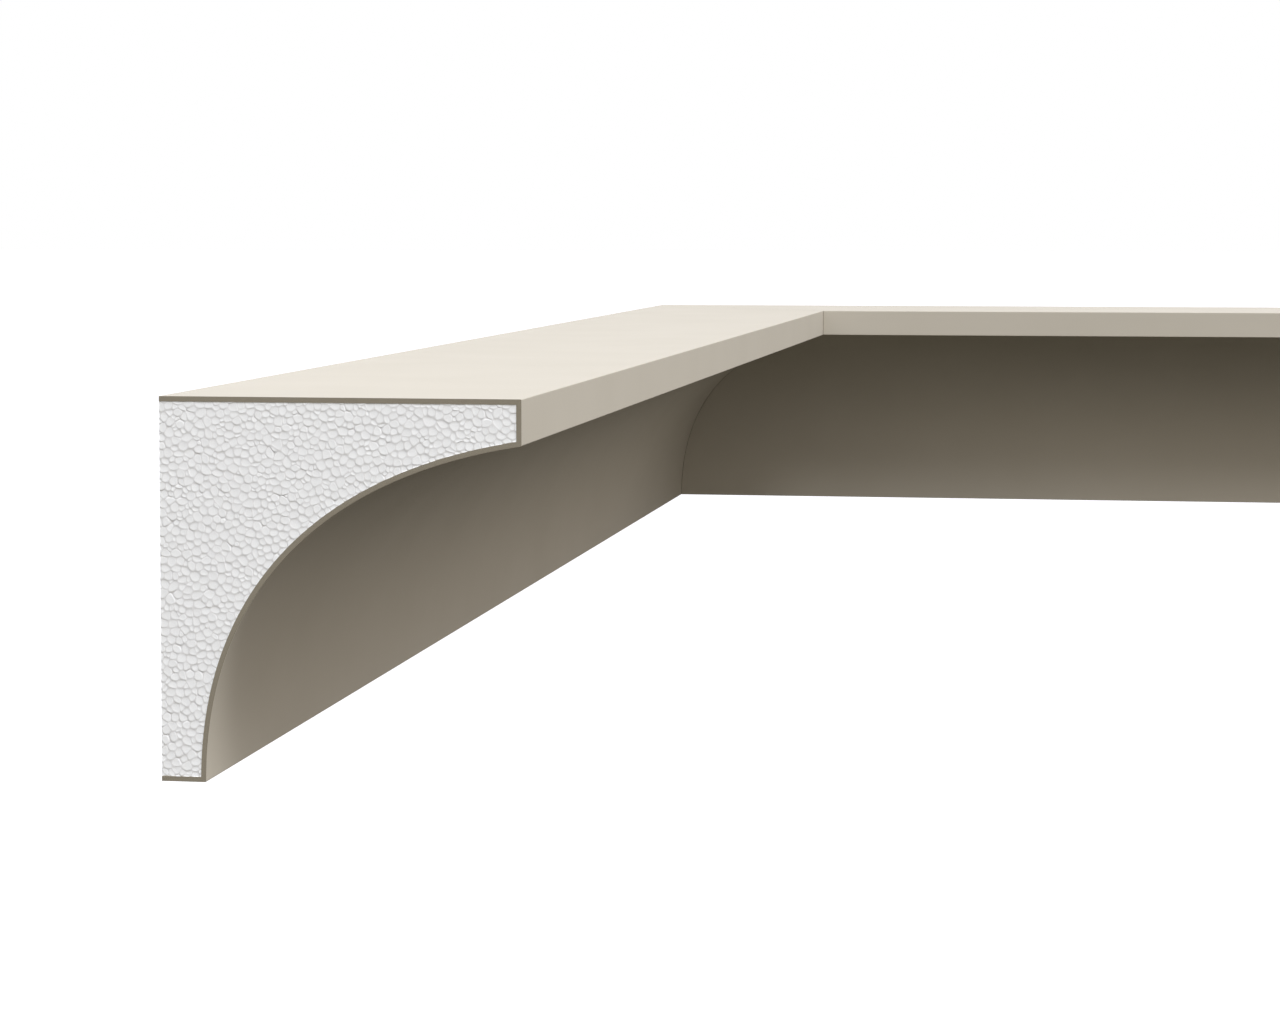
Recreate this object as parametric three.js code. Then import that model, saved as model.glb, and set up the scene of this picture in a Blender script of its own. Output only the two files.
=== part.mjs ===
import * as THREE from 'three';

// A plain cove cornice of coated foam, in two lengths mitred at an inside corner.
// Each length is a white foam core under a thin mineral coating, with a bare foam back.
// Millimetres, +Z up. The left length runs along Y and its back faces -X.
// The right length runs along X and its back faces +Y.
// The origin is the middle of the left length's back.

// Driving dimensions, in millimetres and degrees

const projection = 200;          // from the back to the front of the fascia
const height = 210;              // from the underside of the ledge to the top
const fasciaHeight = 25;         // the upright band under the top
const ledgeDepth = 25;           // the flat underside next to the back
const coatingThickness = 2.8;    // the same on the top, fascia, cove and ledge
const leftLength = 1800;         // along the back, from the inside corner to the square end
const rightLength = 1000;        // along the back, from the inside corner to the square end
const mitreJoint = 0.5;          // the open joint between the two lengths
const coveSlopeAtFascia = 9;     // degrees below level where the cove leaves the fascia
const coveSegments = 48;         // flat facets along the cove's curve

// The cove's fullness: how far each end tangent pulls, as a share of the cove's own depth and drop.

const coveReachFromFascia = 0.66;
const coveReachFromLedge = 0.54;

// Materials

const foamMaterial = new THREE.MeshStandardMaterial({ color: 0xf0f0ee, roughness: 0.85, metalness: 0 });
const coatingMaterial = new THREE.MeshStandardMaterial({ color: 0xc3bcac, roughness: 0.8, metalness: 0 });

// The section: x is the depth out from the back, y is the level, zero at the top and falling.

// The cove is one cubic curve from the fascia's lower edge to the ledge's front edge.
// It leaves the fascia near level and meets the ledge upright.
function coveCurve() {
  const start = new THREE.Vector2(projection, -fasciaHeight);
  const end = new THREE.Vector2(ledgeDepth, -height);
  const slope = THREE.MathUtils.degToRad(coveSlopeAtFascia);
  const startPull = coveReachFromFascia * (start.x - end.x);
  const endPull = coveReachFromLedge * (start.y - end.y);
  const startHandle = new THREE.Vector2(
    start.x - startPull * Math.cos(slope),
    start.y - startPull * Math.sin(slope),
  );
  const endHandle = new THREE.Vector2(end.x, end.y + endPull);
  return new THREE.CubicBezierCurve(start, startHandle, endHandle, end);
}

// Points along the cove from the fascia down, each moved the given distance into the body.
function covePoints(distance) {
  const curve = coveCurve();
  const points = [];
  for (let i = 0; i <= coveSegments; i++) {
    const share = i / coveSegments;
    const point = curve.getPoint(share);
    const tangent = curve.getTangent(share);
    points.push(new THREE.Vector2(
      point.x + distance * tangent.y,
      point.y - distance * tangent.x,
    ));
  }
  return points;
}

// The part of a closed outline on one side of a straight cut, where inside(point) is not negative.
function trimmed(outline, inside) {
  const kept = [];
  for (let i = 0; i < outline.length; i++) {
    const here = outline[i];
    const next = outline[(i + 1) % outline.length];
    const hereSide = inside(here);
    const nextSide = inside(next);
    if (hereSide >= 0) {
      kept.push(here);
    }
    if (hereSide * nextSide < 0) {
      kept.push(here.clone().lerp(next, hereSide / (hereSide - nextSide)));
    }
  }
  return kept;
}

// The whole section, from the top of the back round the front to the foot of the back.
function outerOutline() {
  return [
    new THREE.Vector2(0, 0),
    new THREE.Vector2(projection, 0),
    ...covePoints(0),
    new THREE.Vector2(0, -height),
  ];
}

// The foam's section: everything under the coating, and bare at the back.
function foamOutline() {
  const underTopAndCove = [
    new THREE.Vector2(0, -coatingThickness),
    new THREE.Vector2(projection, -coatingThickness),
    ...covePoints(coatingThickness),
    new THREE.Vector2(0, -height),
  ];
  const behindFascia = trimmed(underTopAndCove, (point) => projection - coatingThickness - point.x);
  return trimmed(behindFascia, (point) => point.y + height - coatingThickness);
}

// The coating's section: a skin over the top, fascia, cove and ledge, open at the back.
function coatingOutline() {
  return [...outerOutline(), ...foamOutline().reverse()];
}

// The inside corner, where the planes of the two backs meet, at the level of the top.
const corner = new THREE.Vector3(0, leftLength / 2, height / 2);

function placeOnLeft(depth, level, along) {
  return [corner.x + depth, corner.y - along, corner.z + level];
}

function placeOnRight(depth, level, along) {
  return [corner.x + along, corner.y - depth, corner.z + level];
}

// One length of the moulding: a section carried from the mitre to the square end.
// The mitre is at 45 degrees, so each point starts as far along as it stands out from the back.
function lengthOfMoulding(outline, length, place, mitreComesFirst) {
  const shape = new THREE.Shape(outline);
  const geometry = new THREE.ExtrudeGeometry(shape, { depth: 1, bevelEnabled: false });
  const position = geometry.getAttribute('position');
  const mitreSetback = mitreJoint * Math.SQRT1_2;
  for (let i = 0; i < position.count; i++) {
    const depth = position.getX(i);
    const level = position.getY(i);
    const isFirstEnd = position.getZ(i) === 0;
    const along = isFirstEnd === mitreComesFirst ? depth + mitreSetback : length;
    position.setXYZ(i, ...place(depth, level, along));
  }
  geometry.computeVertexNormals();
  return geometry;
}

// The extrusion starts at the mitre on the left and at the square end on the right,
// which keeps the faces of both lengths pointing out.

function leftPiece(name, outline, material) {
  const mesh = new THREE.Mesh(lengthOfMoulding(outline, leftLength, placeOnLeft, true), material);
  mesh.name = name;
  return mesh;
}

function rightPiece(name, outline, material) {
  const mesh = new THREE.Mesh(lengthOfMoulding(outline, rightLength, placeOnRight, false), material);
  mesh.name = name;
  return mesh;
}

const cornice = new THREE.Group();
cornice.add(
  leftPiece('left_foam_core', foamOutline(), foamMaterial),
  leftPiece('left_coating', coatingOutline(), coatingMaterial),
  rightPiece('right_foam_core', foamOutline(), foamMaterial),
  rightPiece('right_coating', coatingOutline(), coatingMaterial),
);

export default cornice;
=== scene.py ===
import math
import random

import bmesh
import bpy
from mathutils import Matrix, Vector
from mathutils.geometry import interpolate_bezier


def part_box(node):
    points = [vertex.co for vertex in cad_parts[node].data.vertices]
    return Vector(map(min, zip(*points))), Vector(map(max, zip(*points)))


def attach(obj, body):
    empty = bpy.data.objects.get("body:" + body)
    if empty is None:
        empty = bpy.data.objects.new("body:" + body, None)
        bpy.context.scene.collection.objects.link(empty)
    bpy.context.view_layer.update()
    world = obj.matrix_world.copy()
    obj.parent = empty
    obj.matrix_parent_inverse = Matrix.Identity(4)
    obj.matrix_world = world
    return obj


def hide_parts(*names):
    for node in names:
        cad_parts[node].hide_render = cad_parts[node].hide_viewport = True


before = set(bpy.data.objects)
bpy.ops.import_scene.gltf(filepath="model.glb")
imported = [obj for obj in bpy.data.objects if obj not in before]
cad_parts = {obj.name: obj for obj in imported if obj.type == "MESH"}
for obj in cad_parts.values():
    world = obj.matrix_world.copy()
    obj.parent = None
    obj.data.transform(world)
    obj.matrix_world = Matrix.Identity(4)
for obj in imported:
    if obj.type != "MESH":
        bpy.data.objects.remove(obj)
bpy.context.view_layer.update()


# The two foam cores: blocks of expanded polystyrene, moulded from beads that swell until they press
# into each other, then cut to the section with a hot wire. One end is sawn square and the other is
# mitred for the inside corner. The back is left bare, to be glued.

MM = 0.001                         # one millimetre in the scene's metres

left_low, left_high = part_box("left_coating")
right_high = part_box("right_coating")[1]
core_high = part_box("left_foam_core")[1]

inside_corner = Vector((left_low.x, right_high.y, left_high.z))
projection = (left_high.x - left_low.x) / MM
height = (left_high.z - left_low.z) / MM
coating_thickness = (left_high.z - core_high.z) / MM
left_length = (inside_corner.y - left_low.y) / MM
right_length = (right_high.x - inside_corner.x) / MM
mitre_setback = (inside_corner.y - left_high.y) / MM
fascia_height = 25.0
ledge_depth = 25.0
cove_slope_at_fascia = math.radians(9)
cove_reach_from_fascia = 0.66      # share of the cove's depth
cove_reach_from_ledge = 0.54       # share of the cove's drop
cove_facets = 96
cut_tolerance = 1e-5


# Each piece is made on the bench in millimetres: x is the depth out from the back, -y runs from the
# corner to the square end, and z is the level, zero at the top.
def cove_points(distance):
    start = Vector((projection, 0, -fascia_height))
    end = Vector((ledge_depth, 0, -height))
    slope = Vector((math.cos(cove_slope_at_fascia), 0, math.sin(cove_slope_at_fascia)))
    start_handle = start - cove_reach_from_fascia * (start.x - end.x) * slope
    end_handle = end + Vector((0, 0, cove_reach_from_ledge * (start.z - end.z)))
    line = interpolate_bezier(start, start_handle, end_handle, end, cove_facets + 1)
    # A point past each end gives the end points their tangents.
    line = [start + slope, *line, end - Vector((0, 0, 1))]
    points = []
    for before, point, after in zip(line, line[1:], line[2:]):
        tangent = (after - before).normalized()
        points.append(point + distance * Vector((tangent.z, 0, -tangent.x)))
    return points


def flat_face(points):
    shape = bmesh.new()
    shape.faces.new([shape.verts.new(point) for point in points])
    return shape


def cut_away(shape, point, direction):
    everything = shape.verts[:] + shape.edges[:] + shape.faces[:]
    bmesh.ops.bisect_plane(shape, geom=everything, plane_co=point, plane_no=direction,
                           dist=cut_tolerance, clear_outer=True)


def foam_section():
    section = flat_face([
        Vector((0, 0, -coating_thickness)),
        Vector((projection, 0, -coating_thickness)),
        *cove_points(coating_thickness),
        Vector((0, 0, -height)),
    ])
    cut_away(section, Vector((projection - coating_thickness, 0, 0)), Vector((1, 0, 0)))
    cut_away(section, Vector((0, 0, coating_thickness - height)), Vector((0, 0, -1)))
    return section


# The sawn end shows the beads cut across: large ones first, with smaller ones pressed in between.
bead_radius_large = 2.3
bead_radius_small = 0.9
bead_sizes = 12
throws_for_each_size = 2100
bead_closeness = 0.88              # under 1, because the beads are pressed into each other
square_side = 2 * bead_radius_large
weld_distance = 0.02               # neighbouring cells share the corners that lie this close
left_bead_seed = 7
right_bead_seed = 8


# The beads are kept by the square of a coarse grid that they lie in, so neighbours are quick to find.
def beads_near(beads, centre, squares):
    column = round(centre.x / square_side)
    row = round(centre.z / square_side)
    found = []
    for i in range(column - squares, column + squares + 1):
        for j in range(row - squares, row + squares + 1):
            found += beads.get((i, j), [])
    return found


def scattered_beads(draw):
    beads = {}
    for size in range(bead_sizes):
        radius = bead_radius_large + (bead_radius_small - bead_radius_large) * size / (bead_sizes - 1)
        for _ in range(throws_for_each_size):
            x = draw.uniform(-square_side, projection + square_side)
            z = draw.uniform(-height - square_side, square_side)
            centre = Vector((x, 0, z))
            near = beads_near(beads, centre, 1)
            if all(
                (centre - other).length > bead_closeness * (radius + reach)
                for other, reach in near
            ):
                square = (round(x / square_side), round(z / square_side))
                beads.setdefault(square, []).append((centre, radius))
    return beads


# Every bead takes a copy of the section and trims it off short of each of its neighbours, halfway
# to one of its own size.
def bead_cells(draw):
    beads = scattered_beads(draw)
    section = foam_section()
    outline = bpy.data.meshes.new("outline")
    one_cell = bpy.data.meshes.new("one_cell")
    section.to_mesh(outline)
    section.free()
    cells = bmesh.new()
    for centre, radius in [bead for square in beads.values() for bead in square]:
        near = sorted(beads_near(beads, centre, 2), key=lambda bead: (bead[0] - centre).length)
        cell = bmesh.new()
        cell.from_mesh(outline)
        for other, reach in near[1:]:
            away = other - centre
            share = 0.5 + (radius ** 2 - reach ** 2) / (2 * away.length_squared)
            cut_away(cell, centre + share * away, away)
            if not cell.faces:
                break
        cell.to_mesh(one_cell)
        cell.free()
        cells.from_mesh(one_cell)
    bpy.data.meshes.remove(outline)
    bpy.data.meshes.remove(one_cell)
    bmesh.ops.remove_doubles(cells, verts=cells.verts[:], dist=weld_distance)
    bmesh.ops.recalc_face_normals(cells, faces=cells.faces[:])
    if cells.faces[:][0].normal.y > 0:
        bmesh.ops.reverse_faces(cells, faces=cells.faces[:])
    return cells


# The saw leaves each bead a little dished inside a raised rim, and drags its lower side out, so the
# beads overlap like scales. The joints between them are sunk below the cut, and smeared full in places.
joint_depth = 0.43
joint_smear = 0.32                 # at most, the fill in a joint
joint_side = 0.19                  # the steep side of a bead, down into the joint
most_joint_share = 0.35            # at most, of a bead's room
rim_width = 0.8                    # from the rim to the bottom of the dish
most_rim_share = 0.9               # at most, of a bead's room
dish_depth = 0.08
least_drag = 0.2                   # how much deeper a bead's upper side lies than its lower side
most_drag = 0.42
sideways_drag = 0.7                # at most, as a share of the downward drag
top_unevenness = 0.08              # the saw springs over some beads and tears others
least_rim = 0.03                   # at least, a rim's height above the bottom of a clean joint
pinhole_depth = 0.5                # where the swelling beads left a gap
pinhole_share = 0.03
outline_rise = 0.8                 # share of the joints' depth by which the outline rises between them
outer_step = 2.0                   # longer sides along the outline are divided
outer_cuts = 3

# The bead tone runs from 0, the joints' painted shade, to 1, the foam's own white.
rim_tone = 1
darkest_dish_tone = 0.75
palest_dish_tone = 0.95
outline_tone = 0.7
pinhole_shade_tone = -1                  # under 0, so the joints' painted shade spreads around the pinhole


# Each bead's face gets a ring round it, drawn in by the width and raised by the rise. On a small bead
# the width is a share of its room, which is half the radius of a round bead.
def ring_beads(cells, beads, width, room_share, rise):
    bmesh.ops.inset_individual(cells, faces=beads, thickness=0, depth=0)
    for bead in beads:
        room = bead.calc_area() / bead.calc_perimeter()
        shrink = 1 - min(width, room_share * room) / (2 * room)
        centre = bead.calc_center_median()
        for corner in bead.verts:
            corner.co = centre + shrink * (corner.co - centre) - Vector((0, rise, 0))


def cut_bead_face(draw):
    cells = bead_cells(draw)
    outer = [edge for edge in cells.edges if edge.is_boundary and edge.calc_length() > outer_step]
    bmesh.ops.subdivide_edges(cells, edges=outer, cuts=outer_cuts)
    tone = cells.verts.layers.float.new("bead_tone_and_joint_shade")
    between_joints = [corner for corner in cells.verts if len(corner.link_edges) == 2]
    meeting = [
        corner for corner in cells.verts
        if len(corner.link_edges) > 2 and not corner.is_boundary
    ]
    beads = cells.faces[:]
    ring_beads(cells, beads, joint_side, most_joint_share, joint_depth)
    for bead in beads:
        upward = Vector((draw.uniform(-sideways_drag, sideways_drag), 0, 1))
        drag = draw.uniform(least_drag, most_drag)
        sunk = draw.uniform(0, top_unevenness)
        levels = [upward.dot(corner.co) for corner in bead.verts]
        lowest = min(levels)
        for corner, level in zip(bead.verts, levels):
            share = (level - lowest) / (max(levels) - lowest)
            corner.co.y = min(corner.co.y + sunk + drag * share, -least_rim)
            corner[tone] = rim_tone
    ring_beads(cells, beads, rim_width, most_rim_share, -dish_depth)
    for bead in beads:
        dish_tone = draw.uniform(darkest_dish_tone, palest_dish_tone)
        for corner in bead.verts:
            corner[tone] = dish_tone
    for corner in between_joints:
        corner.co.y -= outline_rise * joint_depth
        corner[tone] = outline_tone
    for corner in meeting:
        corner.co.y -= draw.uniform(0, joint_smear)
        # A pinhole is sunk, and the joints' shade is painted into it as well.
        if draw.random() < pinhole_share:
            corner.co.y += pinhole_depth
            corner[tone] = pinhole_shade_tone
    return cells


# Softens the beads with one level of subdivision, and keeps the section's outline sharp.
def softened(cells):
    kept_edges = cells.edges.layers.float.new("crease_edge")
    kept_corners = cells.verts.layers.float.new("crease_vert")
    for edge in cells.edges:
        if edge.is_boundary:
            edge[kept_edges] = 1
            edge.verts[0][kept_corners] = 1
            edge.verts[1][kept_corners] = 1
    mesh = bpy.data.meshes.new("cut_beads")
    cells.to_mesh(mesh)
    cells.free()
    cut_beads = bpy.data.objects.new("cut_beads", mesh)
    bpy.context.scene.collection.objects.link(cut_beads)
    soften = cut_beads.modifiers.new("soften", "SUBSURF")
    soften.levels = 1
    soften.render_levels = 1
    soft = bmesh.new()
    soft.from_object(cut_beads, bpy.context.evaluated_depsgraph_get())
    bpy.data.objects.remove(cut_beads)
    bpy.data.meshes.remove(mesh)
    return soft


# Cuts the corner end at 45 degrees, short of the corner by half the joint, and closes it.
def mitre(shape):
    cut_away(shape, Vector((0, -mitre_setback, 0)), Vector((1, 1, 0)))
    open_edges = [edge for edge in shape.edges if edge.is_boundary]
    return bmesh.ops.holes_fill(shape, edges=open_edges, sides=0)["faces"]


def run_to_corner(shape, edges):
    drawn = bmesh.ops.extrude_edge_only(shape, edges=edges)["geom"]
    far_corners = [item for item in drawn if isinstance(item, bmesh.types.BMVert)]
    for corner in far_corners:
        corner.co.y = 0
    return [item for item in drawn if isinstance(item, bmesh.types.BMFace)]


def foam_core(length, seed):
    core = softened(cut_bead_face(random.Random(seed)))
    bmesh.ops.translate(core, vec=(0, joint_depth - length, 0), verts=core.verts[:])
    run = run_to_corner(core, [edge for edge in core.edges if edge.is_boundary])
    for face in run:
        face.material_index = 1
    for face in mitre(core):
        face.material_index = 1
    return core


# On the left length the bench's -y stays -y. The right length is its mirror image across the mitre.
place_left = Matrix.Translation(inside_corner) @ Matrix.Scale(MM, 4)
place_right = place_left @ Matrix(((0, -1, 0, 0), (-1, 0, 0, 0), (0, 0, 1, 0), (0, 0, 0, 1)))


def fitted(shape, name, place, materials, node, crisp_angle):
    bmesh.ops.transform(shape, matrix=place, verts=shape.verts[:])
    bmesh.ops.recalc_face_normals(shape, faces=shape.faces[:])
    for face in shape.faces:
        face.smooth = True
    mesh = bpy.data.meshes.new(name)
    shape.to_mesh(mesh)
    shape.free()
    mesh.set_sharp_from_angle(angle=crisp_angle)
    for material in materials:
        mesh.materials.append(material)
    piece = bpy.data.objects.new(name, mesh)
    bpy.context.scene.collection.objects.link(piece)
    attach(piece, "root")
    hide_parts(node)


def linear(hex_colour):
    channels = [int(hex_colour[i:i + 2], 16) / 255 for i in (1, 3, 5)]
    return [c / 12.92 if c <= 0.04045 else ((c + 0.055) / 1.055) ** 2.4 for c in channels] + [1]


def new_material(name):
    material = bpy.data.materials.new(name)
    material.use_nodes = True
    return material, material.node_tree, material.node_tree.nodes["Principled BSDF"]


# Adds a node with its settings. Each of its inputs takes a number, a colour or another node's output.
def add_node(tree, kind, inputs, **settings):
    node = tree.nodes.new(kind)
    for name, value in settings.items():
        setattr(node, name, value)
    for name, value in inputs.items():
        if isinstance(value, bpy.types.NodeSocket):
            tree.links.new(value, node.inputs[name])
        else:
            node.inputs[name].default_value = value
    return node


# Expanded polystyrene sawn across: matt white beads, with painted shade greying the sunk joints and
# pinholes.
foam_white = "#f8fafa"
# painted shade for the sunk joints, a little greyer than the foam's white
painted_joint_shade = "#eeefef"
foam_melted_joint = "#d6d7d8"
foam_mean_bead = 5.0               # millimetres across
melted_joint_share = 0.09          # half a joint's width, as a share of a mean bead
greyest_bead = 0.82                # on the way from the melted joint's colour, at 0, to white
foam_skin_grain = 0.35             # millimetres, the cells inside a bead, drawn coarser than they are

sawn_foam, tree, shader = new_material("sawn_polystyrene_foam")
here = add_node(tree, "ShaderNodeTexCoord", {}).outputs["Object"]
bead_tone_and_joint_shade = add_node(tree, "ShaderNodeAttribute", {}, attribute_name="bead_tone_and_joint_shade").outputs["Fac"]
# Where the bead tone falls to 0, the foam takes the joints' painted shade in place of its white.
tones = {0: bead_tone_and_joint_shade, 6: linear(painted_joint_shade), 7: linear(foam_white)}
colour = add_node(tree, "ShaderNodeMix", tones, data_type="RGBA").outputs[2]
grain_scale = 1 / (foam_skin_grain * MM)
grain = add_node(tree, "ShaderNodeTexNoise", {"Vector": here, "Scale": grain_scale, "Detail": 2})
grain = grain.outputs["Fac"]
bump = add_node(tree, "ShaderNodeBump", {"Height": grain, "Strength": 0.25, "Distance": 0.2 * MM})
bump = bump.outputs["Normal"]
tree.links.new(colour, shader.inputs["Base Color"])
tree.links.new(bump, shader.inputs["Normal"])
shader.inputs["Roughness"].default_value = 0.85
shader.inputs["IOR"].default_value = 1.3

# Expanded polystyrene cut by a hot wire: the same beads, melted level, with only faint joints.
wire_cut_foam, tree, shader = new_material("wire_cut_polystyrene_foam")
here = add_node(tree, "ShaderNodeTexCoord", {}).outputs["Object"]
bead_scale = 1 / (foam_mean_bead * MM)
bead_pattern = {"Vector": here, "Scale": bead_scale}
to_joint = add_node(tree, "ShaderNodeTexVoronoi", bead_pattern, feature="DISTANCE_TO_EDGE")
to_joint = to_joint.outputs["Distance"]
each_bead = add_node(tree, "ShaderNodeTexVoronoi", bead_pattern).outputs["Color"]
level = add_node(tree, "ShaderNodeMapRange", {"Value": to_joint, "From Max": melted_joint_share})
level = level.outputs["Result"]
tint = add_node(tree, "ShaderNodeMapRange", {"Value": each_bead, "To Min": greyest_bead})
tint = tint.outputs["Result"]
whiteness = add_node(tree, "ShaderNodeMath", {0: level, 1: tint}, operation="MULTIPLY").outputs["Value"]
tones = {0: whiteness, 6: linear(foam_melted_joint), 7: linear(foam_white)}
colour = add_node(tree, "ShaderNodeMix", tones, data_type="RGBA").outputs[2]
bump = add_node(tree, "ShaderNodeBump", {"Height": level, "Strength": 0.5, "Distance": 0.4 * MM})
bump = bump.outputs["Normal"]
tree.links.new(colour, shader.inputs["Base Color"])
tree.links.new(bump, shader.inputs["Normal"])
shader.inputs["Roughness"].default_value = 0.75
shader.inputs["IOR"].default_value = 1.3

foam_finishes = [sawn_foam, wire_cut_foam]
foam_crisp_angle = math.radians(40)
for bench_piece, name, place, node in (
    (foam_core(left_length, left_bead_seed), "left_foam_beads", place_left, "left_foam_core"),
    (foam_core(right_length, right_bead_seed), "right_foam_beads", place_right, "right_foam_core"),
):
    fitted(bench_piece, name, place, foam_finishes, node, foam_crisp_angle)


# The two coatings: a hard skin of acrylic resin and fine marble sand, pulled along the foam under a
# metal template in one pass, so it is even and its long edges are crisp. It covers the top, the
# fascia, the cove and the ledge, and the saw leaves its edge bare at the ends.

arris_radius = 0.45
arris_segments = 2
on_face = 0.01                     # what lies this close to a face is on it
off_back = 1.0                     # what lies this far out is clear of the back


def coating_skin(length):
    inside = foam_section()
    inner_line = [corner.vert.co.copy() for corner in inside.faces[:][0].loops]
    inside.free()
    top_back = min(range(len(inner_line)), key=lambda i: (inner_line[i].x - inner_line[i].z))
    inner_line = inner_line[top_back:] + inner_line[:top_back]
    if inner_line[1].x < off_back:
        inner_line = [inner_line[0], *reversed(inner_line[1:])]
    skin = flat_face([
        Vector((0, 0, 0)),
        Vector((projection, 0, 0)),
        *cove_points(0),
        Vector((0, 0, -height)),
        *reversed(inner_line),
    ])
    bmesh.ops.translate(skin, vec=(0, -length, 0), verts=skin.verts[:])
    run = run_to_corner(skin, skin.edges[:])
    for face in run:
        face.material_index = 1
    arrises = []
    for edge in skin.edges:
        start, end = (corner.co for corner in edge.verts)
        nearest_back = min(start.x, end.x)
        at_front = nearest_back > projection - on_face
        at_ledge = max(start.z, end.z) < on_face - height and nearest_back > off_back
        runs_along = start.y != end.y
        if runs_along and (at_front or at_ledge):
            arrises.append(edge)
    bmesh.ops.bevel(skin, geom=arrises, affect="EDGES", offset=arris_radius, segments=arris_segments,
                    profile=0.5, material=-1)
    return skin


# Cured render: a matt, warm grey beige skin with the grain of fine sand and a faint cloudiness.
coating_beige = "#bcb6a9"
coating_shade = "#b4aea0"
sand_grain = 0.4                   # millimetres
cloud_size = 90.0                  # millimetres

coating_face, tree, shader = new_material("fine_sanded_acrylic_render")
here = add_node(tree, "ShaderNodeTexCoord", {}).outputs["Object"]
cloud_scale = 1 / (cloud_size * MM)
sand_scale = 1 / (sand_grain * MM)
cloud = add_node(tree, "ShaderNodeTexNoise", {"Vector": here, "Scale": cloud_scale, "Detail": 4})
tones = {0: cloud.outputs["Fac"], 6: linear(coating_beige), 7: linear(coating_shade)}
colour = add_node(tree, "ShaderNodeMix", tones, data_type="RGBA").outputs[2]
sand = add_node(tree, "ShaderNodeTexNoise", {"Vector": here, "Scale": sand_scale, "Detail": 2})
sand = sand.outputs["Fac"]
bump = add_node(tree, "ShaderNodeBump", {"Height": sand, "Strength": 0.15, "Distance": 0.1 * MM})
bump = bump.outputs["Normal"]
tree.links.new(colour, shader.inputs["Base Color"])
tree.links.new(bump, shader.inputs["Normal"])
shader.inputs["Roughness"].default_value = 0.9

# Sawn render: rougher and darker than its face, with pale sand grains cut through.
coating_cut = "#847d6e"
coating_cut_pale = "#989180"

coating_edge, tree, shader = new_material("sawn_acrylic_render")
here = add_node(tree, "ShaderNodeTexCoord", {}).outputs["Object"]
sand = add_node(tree, "ShaderNodeTexNoise", {"Vector": here, "Scale": sand_scale, "Detail": 3})
sand = sand.outputs["Fac"]
tones = {0: sand, 6: linear(coating_cut), 7: linear(coating_cut_pale)}
colour = add_node(tree, "ShaderNodeMix", tones, data_type="RGBA").outputs[2]
bump = add_node(tree, "ShaderNodeBump", {"Height": sand, "Strength": 0.6, "Distance": 0.3 * MM})
bump = bump.outputs["Normal"]
tree.links.new(colour, shader.inputs["Base Color"])
tree.links.new(bump, shader.inputs["Normal"])
shader.inputs["Roughness"].default_value = 0.95


def coating(length):
    skin = coating_skin(length)
    for face in mitre(skin):
        face.material_index = 0
    return skin


# Only the cove is shaded as a curve. The top, the fascia and the ledge stay flat up to their edges.
coating_finishes = [coating_edge, coating_face]
coating_crisp_angle = math.radians(12)
for bench_piece, name, place, node in (
    (coating(left_length), "left_coating_skin", place_left, "left_coating"),
    (coating(right_length), "right_coating_skin", place_right, "right_coating"),
):
    fitted(bench_piece, name, place, coating_finishes, node, coating_crisp_angle)


# The floor: a wide, plain pale floor well below the part, which hangs by its back and stands on
# nothing. It is lit through from underneath, so it stays pale as far as the eye goes, and it doesn't
# light the part, so the cove keeps its soft shade.

floor_drop = 3.0                   # metres under the origin, so views from below the part stay open
floor_reach = 300                  # metres each way

floor_finish, tree, shader = new_material("pale_floor")
shader.inputs["Base Color"].default_value = linear("#f2f1ee")
shader.inputs["Roughness"].default_value = 1.0
shader.inputs["Emission Color"].default_value = linear("#ffffff")
shader.inputs["Emission Strength"].default_value = 0.45

floor_shape = bmesh.new()
bmesh.ops.create_grid(floor_shape, x_segments=1, y_segments=1, size=floor_reach,
                      matrix=Matrix.Translation((0, 0, -floor_drop)))
floor_mesh = bpy.data.meshes.new("floor")
floor_shape.to_mesh(floor_mesh)
floor_shape.free()
floor_mesh.materials.append(floor_finish)
floor = bpy.data.objects.new("floor", floor_mesh)
bpy.context.scene.collection.objects.link(floor)
floor.visible_diffuse = False
floor.visible_glossy = False
floor.visible_shadow = False


# The light: a soft studio dome, brightest well above the part and dim below, which leaves the cove in
# shade, with a glow level from the right into the cove of the left length. Two wide lamps hang high,
# in front and at the right, and one stands low behind for the backs.

# Strengths and colours were matched to the real part's shades and then rounded.
no_light = (0, 0, 0, 1)
faint_warm_light = (0.11, 0.1, 0.08, 1)
neutral_light = (1.05, 1, 1, 1)
warm_light = (1.3, 1.2, 1.05, 1)
cool_light = (0.9, 1, 1.3, 1)
dome_light = {                     # by height on the dome: -1 is straight down and 1 overhead
    -0.2: faint_warm_light,
    0.1: no_light,
    0.45: warm_light,
    0.75: cool_light,
    1.0: no_light,
}
right_light = {
    -0.2: no_light,
    0.1: neutral_light,
    0.45: no_light,
}
front_lamp_watts = 420
side_lamp_watts = 700
back_lamp_watts = 400
lamp_width = 4                     # metres

studio = bpy.data.worlds.new("studio")
studio.use_nodes = True
bpy.context.scene.world = studio
tree = studio.node_tree
direction = add_node(tree, "ShaderNodeTexCoord", {}).outputs["Generated"]
sides = add_node(tree, "ShaderNodeSeparateXYZ", {"Vector": direction}).outputs
rightwards = add_node(tree, "ShaderNodeMapRange", {"Value": sides["X"], "From Min": -1})
upwards = add_node(tree, "ShaderNodeMapRange", {"Value": sides["Z"], "From Min": -1})
dome = add_node(tree, "ShaderNodeValToRGB", {"Fac": upwards.outputs["Result"]})
glow = add_node(tree, "ShaderNodeValToRGB", {"Fac": upwards.outputs["Result"]})
for ramp, light_by_height in ((dome.color_ramp, dome_light), (glow.color_ramp, right_light)):
    ramp.elements.remove(ramp.elements[1])
    for stop_height, stop_light in light_by_height.items():
        ramp.elements.new((stop_height + 1) / 2).color = stop_light
    ramp.elements.remove(ramp.elements[0])
sources = {0: rightwards.outputs["Result"], 6: dome.outputs["Color"], 7: glow.outputs["Color"]}
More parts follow.
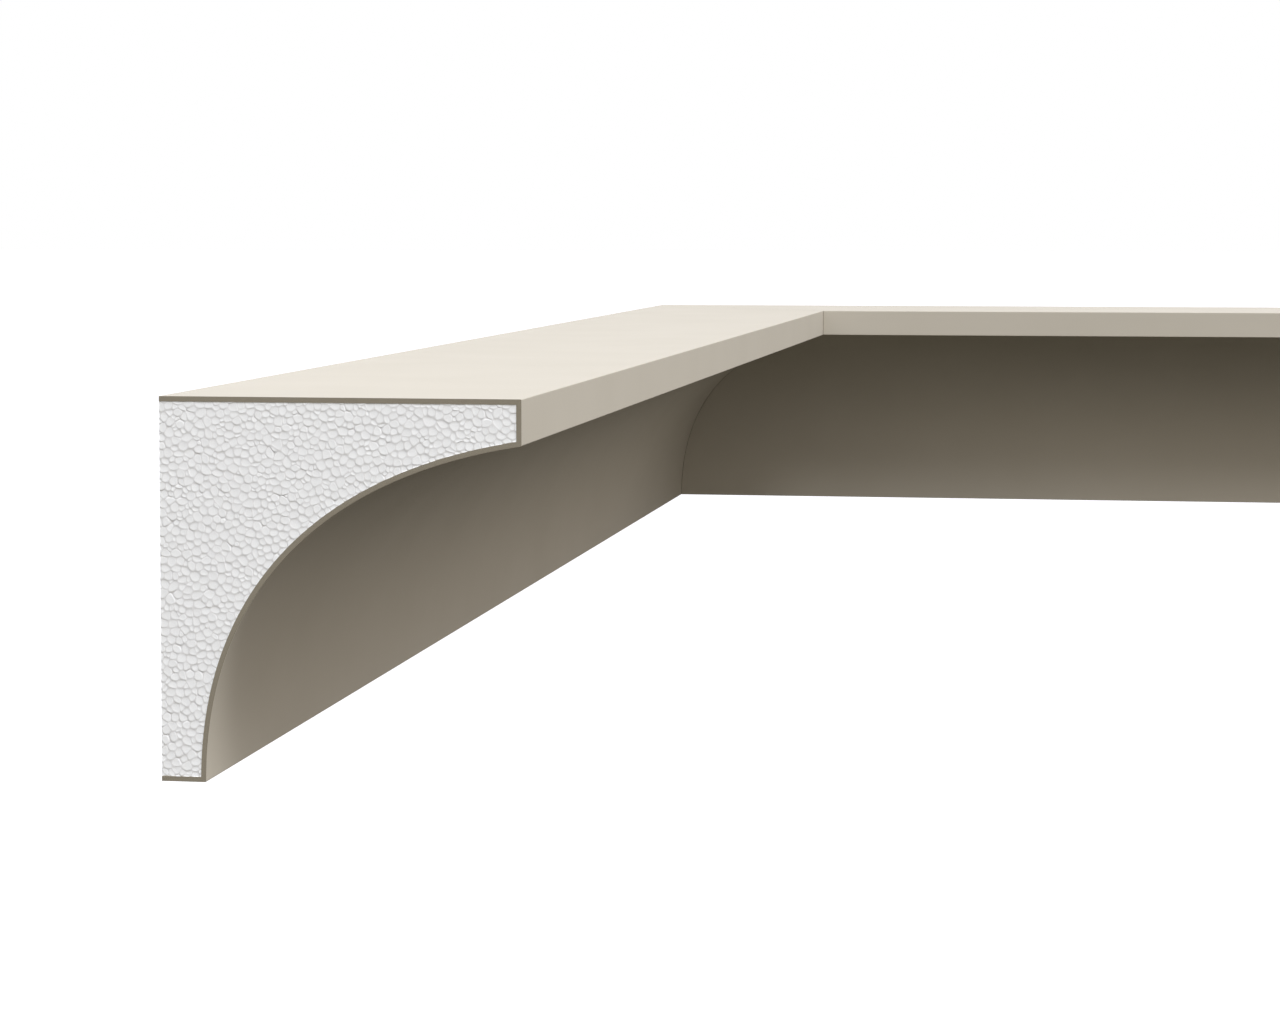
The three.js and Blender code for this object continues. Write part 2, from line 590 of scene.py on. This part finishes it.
light = add_node(tree, "ShaderNodeMix", sources, data_type="RGBA", blend_type="ADD").outputs[2]
lit = tree.nodes["Background"]
tree.links.new(light, lit.inputs["Color"])
seen = add_node(tree, "ShaderNodeBackground", {"Color": (1, 1, 1, 1), "Strength": 1})
is_seen = add_node(tree, "ShaderNodeLightPath", {}).outputs["Is Camera Ray"]
either = add_node(tree, "ShaderNodeMixShader", {
    0: is_seen,
    1: lit.outputs["Background"],
    2: seen.outputs["Background"],
})
tree.links.new(either.outputs["Shader"], tree.nodes["World Output"].inputs["Surface"])

lamp_aim = Vector((0.3, 0.2, 0))
for name, watts, place in (
    ("front_lamp", front_lamp_watts, Vector((2.9, -6.6, 8.4))),
    ("side_lamp", side_lamp_watts, Vector((5.4, -2.6, 9.0))),
    ("back_lamp", back_lamp_watts, Vector((-6, 6.4, 1.3))),
):
    lamp_data = bpy.data.lights.new(name, "AREA")
    lamp_data.shape = "DISK"
    lamp_data.size = lamp_width
    lamp_data.energy = watts
    lamp = bpy.data.objects.new(name, lamp_data)
    lamp_turn = (place - lamp_aim).to_track_quat("Z", "Y").to_matrix().to_4x4()
    lamp.matrix_world = Matrix.Translation(place) @ lamp_turn
    bpy.context.scene.collection.objects.link(lamp)

bpy.context.scene.view_settings.view_transform = "Standard"


# The camera: solved from the edges of the left length's end and the mitre. It looks along the left
# length from beyond its end, a little to the left and slightly down.

sensor_width = 36                  # millimetres
focal_length = 86.59               # millimetres
frame_shift = -0.1                 # share of the frame's width
camera_place = Vector((521.2, -3400.7, 95.6))  # millimetres from the inside corner
degrees_down = 3.066
degrees_left = 9.136
farthest_seen = 2000               # metres

camera_data = bpy.data.cameras.new("camera")
camera_data.sensor_width = sensor_width
camera_data.lens = focal_length
camera_data.shift_y = frame_shift
camera_data.clip_end = farthest_seen
camera = bpy.data.objects.new("camera", camera_data)
camera.location = inside_corner + MM * camera_place
camera.rotation_euler = (math.radians(90 - degrees_down), 0, math.radians(degrees_left))
bpy.context.scene.collection.objects.link(camera)
bpy.context.scene.camera = camera
